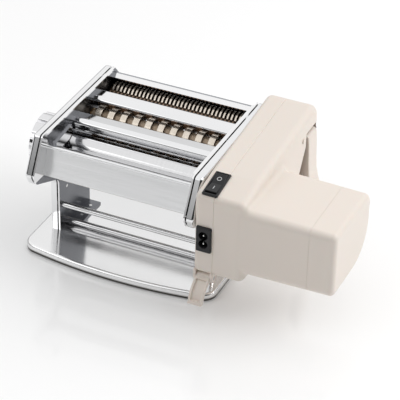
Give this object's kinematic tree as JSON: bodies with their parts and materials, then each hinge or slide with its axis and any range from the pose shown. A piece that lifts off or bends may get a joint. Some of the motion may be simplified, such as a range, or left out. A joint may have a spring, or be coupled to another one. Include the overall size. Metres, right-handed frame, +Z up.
{
  "type": "pasta roller machine",
  "caption": "Table-top pasta machine: smooth rollers with a lobed thickness knob, a wide and a fine cutter in a polished steel frame, and a cream clip-on motor that drives them.",
  "frame": {"origin": "on the table, at the centre of the four feet, below the middle of the rollers", "axes": "+X along the rollers towards the motor, +Y to the back of the machine, +Z up"},
  "size_m": [0.3264, 0.1858, 0.1404],
  "materials": {
    "polished_sheet": "mirror-polished stainless sheet",
    "roller_steel": "ground and plated steel",
    "cutter_steel": "plated cutting steel with a warm cast",
    "plain_steel": "turned and hobbed steel",
    "screw_steel": "zinc-plated",
    "bearing_bronze": "sintered bronze",
    "white_nylon": "moulded",
    "cream_plastic": "moulded, soft gloss",
    "silver_plastic": "metal-look coating",
    "black_plastic": "moulded",
    "foot_rubber": "moulded"
  },
  "bodies": {
    "machine": {"base_plate": "polished_sheet", "left_frame": "polished_sheet", "right_frame": "polished_sheet", "left_cover": "polished_sheet", "right_cover": "polished_sheet", "front_panel": "polished_sheet", "feed_chute": "polished_sheet", "side_guides": "polished_sheet", "front_hood": "polished_sheet", "rear_hood": "polished_sheet", "rear_panel": "polished_sheet", "upper_tie_rods": "roller_steel", "lower_tie_rod": "roller_steel", "gear_axles": "plain_steel", "motor_can": "plain_steel", "gear_plate": "plain_steel", "lever_pins": "plain_steel", "cover_screws": "screw_steel", "foot_screws": "screw_steel", "tie_rod_nuts": "screw_steel", "case_screws": "screw_steel", "inlet_pins": "screw_steel", "journal_bushes": "bearing_bronze", "roller_scrapers": "white_nylon", "wide_combs": "white_nylon", "fine_combs": "white_nylon", "inner_case": "cream_plastic", "outer_case": "cream_plastic", "end_cap": "cream_plastic", "rocker_bezel": "black_plastic", "inlet_socket": "black_plastic", "base_feet": "foot_rubber"},
    "front_roller": {"front_roller": "roller_steel", "front_roller_gear": "plain_steel", "roller_drive_gear": "white_nylon"},
    "carriage": {"roller_sleeves": "bearing_bronze"},
    "rear_roller": {"rear_roller": "roller_steel", "rear_roller_gear": "plain_steel"},
    "wide_front": {"wide_cutter_front": "cutter_steel", "wide_gear_front": "plain_steel", "wide_drive_gear": "white_nylon"},
    "wide_rear": {"wide_cutter_rear": "cutter_steel", "wide_gear_rear": "plain_steel"},
    "fine_front": {"fine_cutter_front": "cutter_steel", "fine_gear_front": "plain_steel", "fine_drive_gear": "white_nylon"},
    "fine_rear": {"fine_cutter_rear": "cutter_steel", "fine_gear_rear": "plain_steel"},
    "first_idler": {"first_idler": "white_nylon"},
    "second_idler": {"second_idler": "white_nylon"},
    "reduction": {"wheel_pinion": "white_nylon", "reduction_wheel": "white_nylon"},
    "armature": {"armature": "plain_steel", "motor_pinion": "plain_steel"},
    "adjuster": {"adjust_spindle": "plain_steel"},
    "knob": {"adjust_knob": "silver_plastic"},
    "rocker": {"rocker_button": "black_plastic"},
    "front_lever": {"front_lever": "cream_plastic"},
    "rear_lever": {"rear_lever": "cream_plastic"}
  },
  "joints": [
    {"name": "front_roller_spin", "type": "hinge", "parent": "machine", "child": "front_roller", "pos_m": [0, -0.033, 0.089], "axis": [1, 0, 0], "continuous": true},
    {"name": "carriage_slide", "type": "slide", "parent": "machine", "child": "carriage", "axis": [0, -1, 0], "range_m": [0, 0.002]},
    {"name": "rear_roller_spin", "type": "hinge", "parent": "carriage", "child": "rear_roller", "pos_m": [0, -0.0028, 0.089], "axis": [1, 0, 0], "continuous": true},
    {"name": "wide_front_spin", "type": "hinge", "parent": "machine", "child": "wide_front", "pos_m": [0, 0.02076, 0.10062], "axis": [1, 0, 0], "continuous": true},
    {"name": "wide_rear_spin", "type": "hinge", "parent": "machine", "child": "wide_rear", "pos_m": [0, 0.03826, 0.10062], "axis": [1, 0, 0], "continuous": true},
    {"name": "fine_front_spin", "type": "hinge", "parent": "machine", "child": "fine_front", "pos_m": [0, 0.06249, 0.10538], "axis": [1, 0, 0], "continuous": true},
    {"name": "fine_rear_spin", "type": "hinge", "parent": "machine", "child": "fine_rear", "pos_m": [0, 0.07999, 0.10538], "axis": [1, 0, 0], "continuous": true},
    {"name": "first_idler_spin", "type": "hinge", "parent": "machine", "child": "first_idler", "pos_m": [0.0935, -0.00221, 0.09566], "axis": [1, 0, 0], "continuous": true},
    {"name": "second_idler_spin", "type": "hinge", "parent": "machine", "child": "second_idler", "pos_m": [0.0935, 0.04162, 0.103], "axis": [1, 0, 0], "continuous": true},
    {"name": "reduction_spin", "type": "hinge", "parent": "machine", "child": "reduction", "pos_m": [0.098, -0.01633, 0.07174], "axis": [1, 0, 0], "continuous": true},
    {"name": "armature_spin", "type": "hinge", "parent": "machine", "child": "armature", "pos_m": [0.14, -0.03189, 0.08263], "axis": [1, 0, 0], "continuous": true},
    {"name": "adjuster_turn", "type": "hinge", "parent": "machine", "child": "adjuster", "pos_m": [-0.09, -0.0038, 0.08813], "axis": [1, 0, 0], "range_deg": [0, 121]},
    {"name": "knob_pull", "type": "slide", "parent": "adjuster", "child": "knob", "axis": [-1, 0, 0], "range_m": [0, 0.003], "stiffness_N_per_m": 400, "springref_m": -0.002},
    {"name": "rocker_tilt", "type": "hinge", "parent": "machine", "child": "rocker", "pos_m": [0.0976, -0.05688, 0.1228], "axis": [1, 0, 0], "range_deg": [-10, 10]},
    {"name": "front_lever_swing", "type": "hinge", "parent": "machine", "child": "front_lever", "pos_m": [0.09375, -0.07, 0.036], "axis": [-1, 0, 0], "range_deg": [0, 55]},
    {"name": "rear_lever_swing", "type": "hinge", "parent": "machine", "child": "rear_lever", "pos_m": [0.13, 0.0775, 0.113], "axis": [0, -1, 0], "range_deg": [0, 55]}
  ],
  "couplings": [
    {"joint": "rear_roller_spin", "follows": "front_roller_spin", "ratio": -1},
    {"joint": "first_idler_spin", "follows": "front_roller_spin", "ratio": -1.7391},
    {"joint": "wide_front_spin", "follows": "front_roller_spin", "ratio": 1.6667},
    {"joint": "wide_rear_spin", "follows": "front_roller_spin", "ratio": -1.6667},
    {"joint": "second_idler_spin", "follows": "front_roller_spin", "ratio": -2.2222},
    {"joint": "fine_front_spin", "follows": "front_roller_spin", "ratio": 1.6667},
    {"joint": "fine_rear_spin", "follows": "front_roller_spin", "ratio": -1.6667},
    {"joint": "reduction_spin", "follows": "front_roller_spin", "ratio": -5},
    {"joint": "armature_spin", "follows": "front_roller_spin", "ratio": 18.75},
    {"joint": "adjuster_turn", "follows": "carriage_slide", "rad_per_m": 1046.9}
  ]
}
